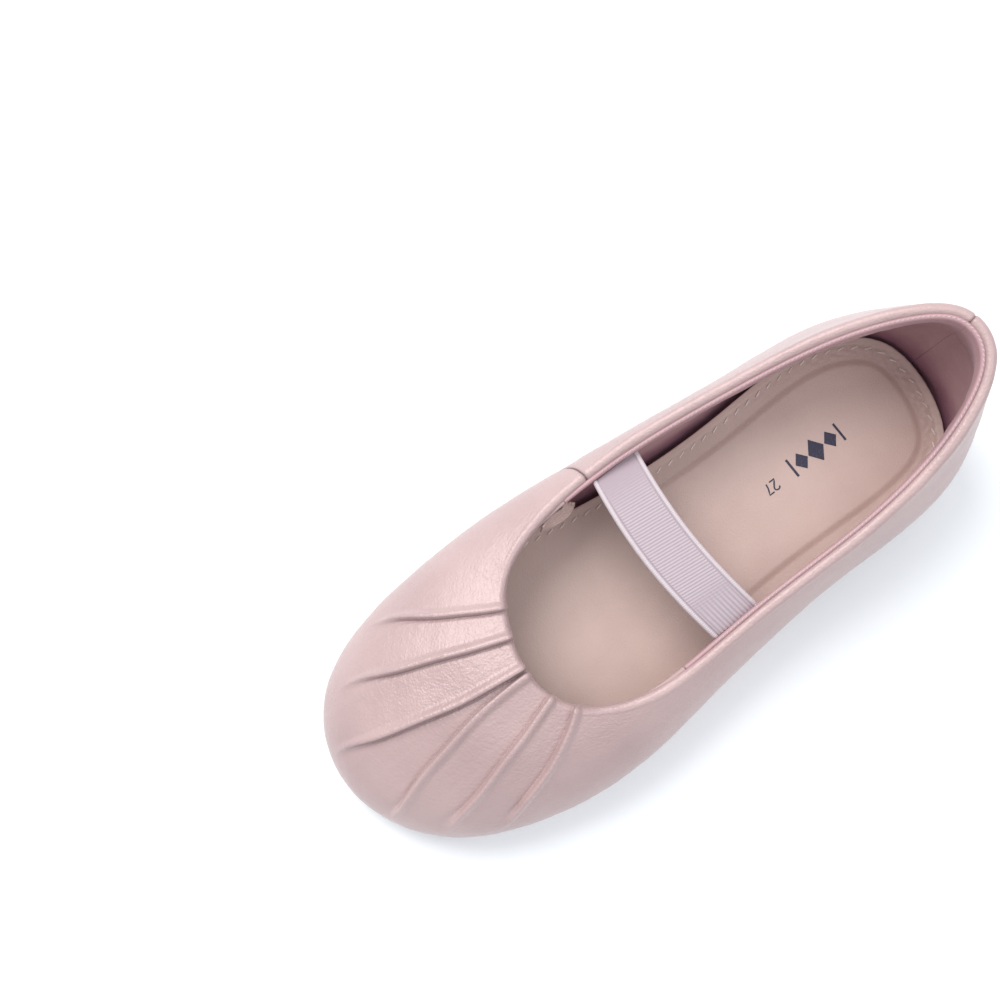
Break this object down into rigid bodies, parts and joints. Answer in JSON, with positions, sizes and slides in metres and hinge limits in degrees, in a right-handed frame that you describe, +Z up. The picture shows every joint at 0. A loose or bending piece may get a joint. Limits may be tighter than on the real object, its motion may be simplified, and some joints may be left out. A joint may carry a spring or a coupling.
{
  "type": "ballet slipper",
  "caption": "Left child's ballet slipper with a pleated toe, a turned topline and an elastic strap across the instep, over a thin sole with a low heel.",
  "frame": {"origin": "middle of the shoe's overall outline on the floor", "axes": "+X towards the toe, +Y towards the outer side of the foot, +Z up"},
  "size_m": [0.1848, 0.0714, 0.0525],
  "materials": {
    "upper_leather": "pearlised nappa, soft gloss",
    "lining_leather": "smooth matt",
    "sock_leather": "smooth satin",
    "lining_cloth": "twill weave",
    "elastic": "ribbed woven elastic",
    "thread": "matt thread",
    "stiffener": "stiffened non-woven",
    "filler_board": "pressed fibre board",
    "pad_foam": "soft foam",
    "sole_rubber": "matt, fine texture"
  },
  "bodies": {
    "shoe": {"outsole": "sole_rubber", "heel_lift": "sole_rubber", "bottom_filler": "filler_board", "shank_board": "filler_board", "insole_board": "filler_board", "footbed_pad": "pad_foam", "sock_liner": "sock_leather", "vamp": "upper_leather", "inner_quarter": "upper_leather", "toe_puff": "stiffener", "heel_counter": "stiffener", "vamp_lining": "lining_cloth", "outer_quarter_lining": "lining_leather", "inner_quarter_lining": "lining_leather", "topline_cord": "thread", "topline_stitching": "thread", "sock_stitching": "thread", "strap_end_outer": "elastic", "strap_end_inner": "elastic", "strap_tail": "elastic"},
    "strap": {"elastic_strap": "elastic"}
  },
  "joints": [
    {"name": "strap_swing", "type": "hinge", "parent": "shoe", "child": "strap", "pos_m": [-0.00605, 0, 0.03], "axis": [0, 1, 0], "range_deg": [-25, 25], "stiffness_Nm_per_rad": 0.01}
  ]
}
